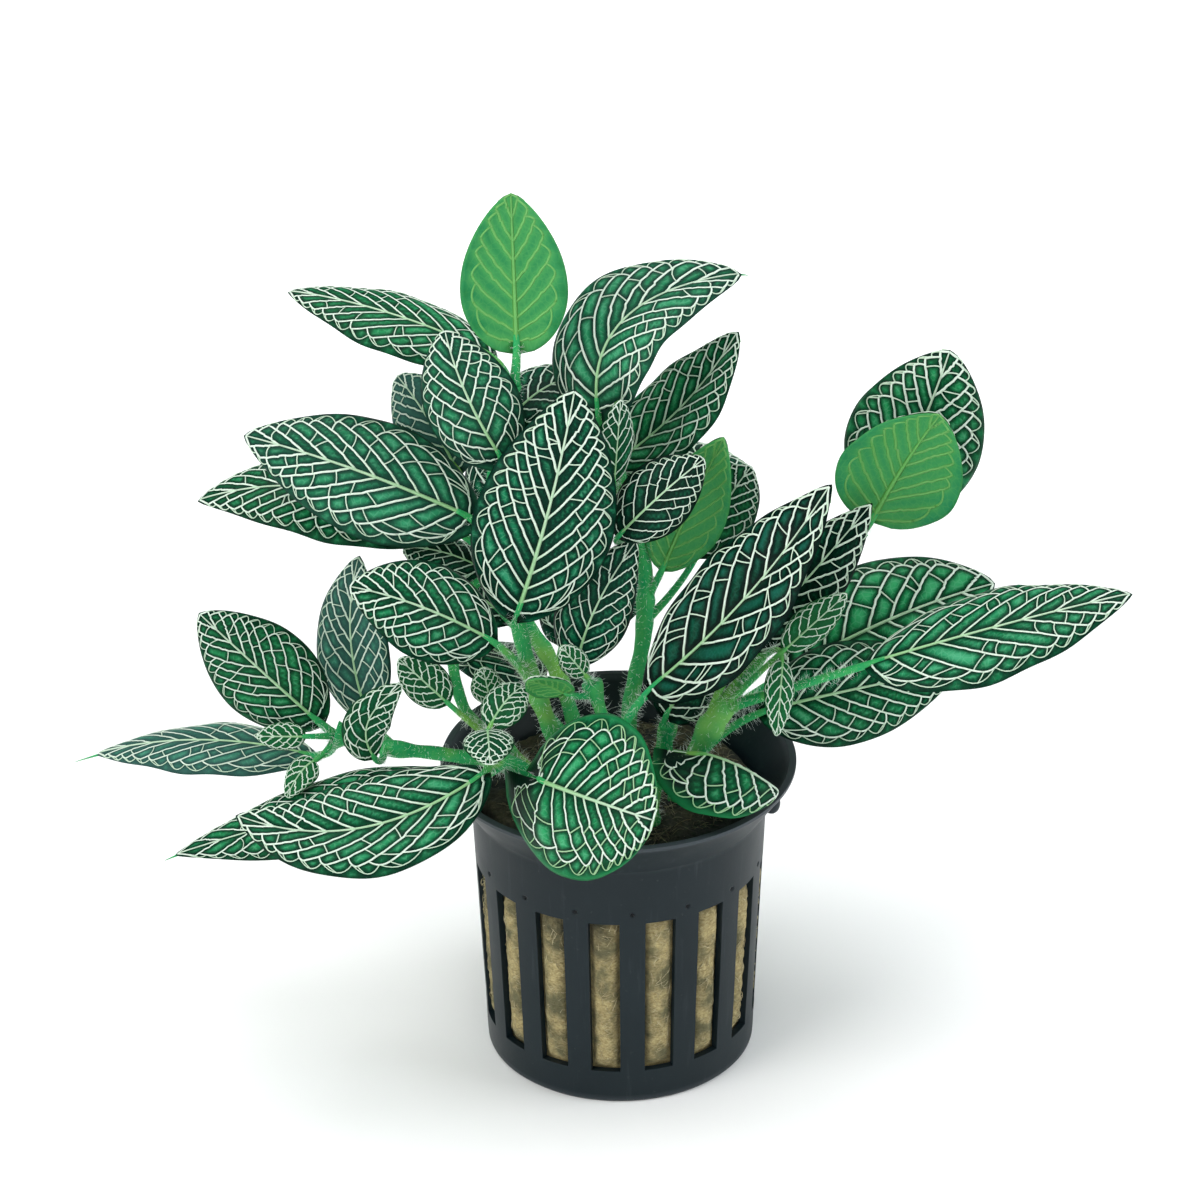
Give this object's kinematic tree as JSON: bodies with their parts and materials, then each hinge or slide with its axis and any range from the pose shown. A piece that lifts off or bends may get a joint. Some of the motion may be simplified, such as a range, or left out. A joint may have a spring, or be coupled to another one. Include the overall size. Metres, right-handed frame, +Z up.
{
  "type": "potted nerve plant",
  "caption": "Potted nerve plant: hairy green shoots with net-veined oval leaves, rooted in a mineral wool plug inside a small slotted net pot with a flared rim.",
  "frame": {"origin": "centre of the flat underside of the pot, on the surface that it stands on", "axes": "+Z up along the pot's axis; -Y is the front, the side that the picture shows, and +X is to its right"},
  "size_m": [0.1568, 0.0911, 0.1432],
  "materials": {
    "pot_plastic": "moulded charcoal plastic with a soft sheen",
    "mineral_wool": "matte damp fibres, olive brown on top and straw coloured at the slots",
    "leaf_green": "satin quilted leaf surface, deep green",
    "leaf_underside": "satin, pale green",
    "vein_white": "satin, creamy white",
    "stem_green": "satin, hairy",
    "stem_hair": "fine translucent hairs"
  },
  "bodies": {
    "root": {"net_pot": "pot_plastic", "wool_plug": "mineral_wool", "tall_left_shoot": "leaf_green", "tall_right_shoot": "leaf_green", "middle_shoot": "leaf_green", "right_shoot": "leaf_green", "inner_right_shoot": "leaf_green", "left_trailing_shoot": "leaf_green", "left_front_shoot": "leaf_green", "front_shoot": "leaf_green", "inner_left_shoot": "leaf_green", "back_left_shoot": "leaf_green", "back_right_shoot": "leaf_green"}
  },
  "joints": []
}
